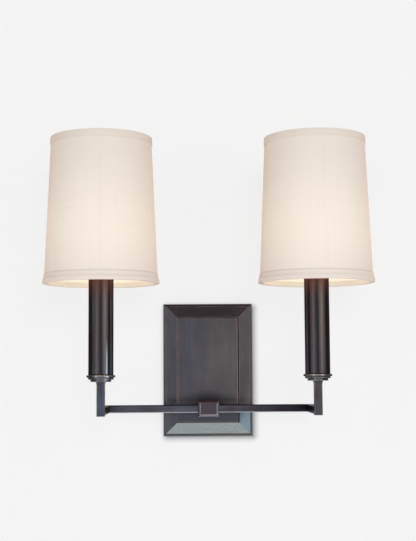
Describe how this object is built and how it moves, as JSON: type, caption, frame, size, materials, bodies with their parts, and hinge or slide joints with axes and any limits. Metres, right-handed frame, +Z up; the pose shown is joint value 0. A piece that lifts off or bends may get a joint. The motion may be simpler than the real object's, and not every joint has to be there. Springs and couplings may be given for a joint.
{
  "type": "double arm wall sconce",
  "caption": "Wall light with a rectangular stepped plate, square arms to either side, metal candles and tapered fabric shades.",
  "frame": {"origin": "centre of the wall plate's back plane, midway between the two box screw slots, on the wall", "axes": "+X to the right as seen from the room, +Y into the wall, +Z up; the lamp faces -Y"},
  "size_m": [0.3918, 0.1901, 0.3578],
  "materials": {
    "bronze": "dark aged bronze, brushed, with rubbed edges",
    "steel": "zinc plated",
    "brass": "plain",
    "copper": "bare copper",
    "ground_green": "green plated",
    "connector": "moulded",
    "moulded_black": "moulded",
    "insulation_black": "smooth",
    "insulation_white": "smooth",
    "bulb_glass": "inside frosted",
    "filament": "glass and tungsten",
    "shade_fabric": "off-white plain weave",
    "shade_trim": "off-white folded tape",
    "shade_lining": "translucent",
    "shade_wire": "white enamel",
    "clip_wire": "nickel plated"
  },
  "bodies": {
    "fixture": {"backplate": "bronze", "mounting_strap": "steel", "cover_screws": "bronze", "ground_screw": "ground_green", "ground_lead": "copper", "wire_nuts": "connector", "hub_block": "bronze", "hub_nipple": "steel", "hub_lock_washer": "steel", "hub_nut": "steel", "cross_bar": "bronze", "stem_plugs": "bronze", "left_forward_arm": "bronze", "left_stem": "bronze", "left_black_lead": "insulation_black", "left_white_lead": "insulation_white", "left_stem_collar": "bronze", "left_candle_cup": "bronze", "left_candle_nipple": "brass", "left_candle_nut": "steel", "left_socket_bracket": "steel", "left_socket_body": "moulded_black", "left_socket_shell": "brass", "left_socket_contact": "brass", "left_candle_tube": "bronze", "right_forward_arm": "bronze", "right_stem": "bronze", "right_black_lead": "insulation_black", "right_white_lead": "insulation_white", "right_stem_collar": "bronze", "right_candle_cup": "bronze", "right_candle_nipple": "brass", "right_candle_nut": "steel", "right_socket_bracket": "steel", "right_socket_body": "moulded_black", "right_socket_shell": "brass", "right_socket_contact": "brass", "right_candle_tube": "bronze"},
    "left_bulb": {"left_bulb_cap": "brass", "left_bulb_glass": "bulb_glass", "left_bulb_filament": "filament"},
    "left_clip": {"left_bulb_clip": "clip_wire"},
    "left_shade": {"left_shade_fabric": "shade_fabric", "left_shade_backing": "shade_lining", "left_shade_top_trim": "shade_trim", "left_shade_bottom_trim": "shade_trim", "left_shade_bottom_ring": "shade_wire", "left_shade_top_fitter": "shade_wire"},
    "right_bulb": {"right_bulb_cap": "brass", "right_bulb_glass": "bulb_glass", "right_bulb_filament": "filament"},
    "right_clip": {"right_bulb_clip": "clip_wire"},
    "right_shade": {"right_shade_fabric": "shade_fabric", "right_shade_backing": "shade_lining", "right_shade_top_trim": "shade_trim", "right_shade_bottom_trim": "shade_trim", "right_shade_bottom_ring": "shade_wire", "right_shade_top_fitter": "shade_wire"}
  },
  "joints": [
    {"name": "left_bulb_turn", "type": "hinge", "parent": "fixture", "child": "left_bulb", "pos_m": [-0.127, -0.1212, 0.128], "axis": [0, 0, 1], "range_deg": [0, 1800]},
    {"name": "left_shade_lift", "type": "slide", "parent": "left_bulb", "child": "left_clip", "axis": [0, 0, 1], "range_m": [0, 0.13]},
    {"name": "left_shade_turn", "type": "hinge", "parent": "left_clip", "child": "left_shade", "pos_m": [-0.127, -0.1212, 0.2335], "axis": [0, 0, 1], "continuous": true},
    {"name": "right_bulb_turn", "type": "hinge", "parent": "fixture", "child": "right_bulb", "pos_m": [0.127, -0.1212, 0.128], "axis": [0, 0, 1], "range_deg": [0, 1800]},
    {"name": "right_shade_lift", "type": "slide", "parent": "right_bulb", "child": "right_clip", "axis": [0, 0, 1], "range_m": [0, 0.13]},
    {"name": "right_shade_turn", "type": "hinge", "parent": "right_clip", "child": "right_shade", "pos_m": [0.127, -0.1212, 0.2335], "axis": [0, 0, 1], "continuous": true}
  ]
}
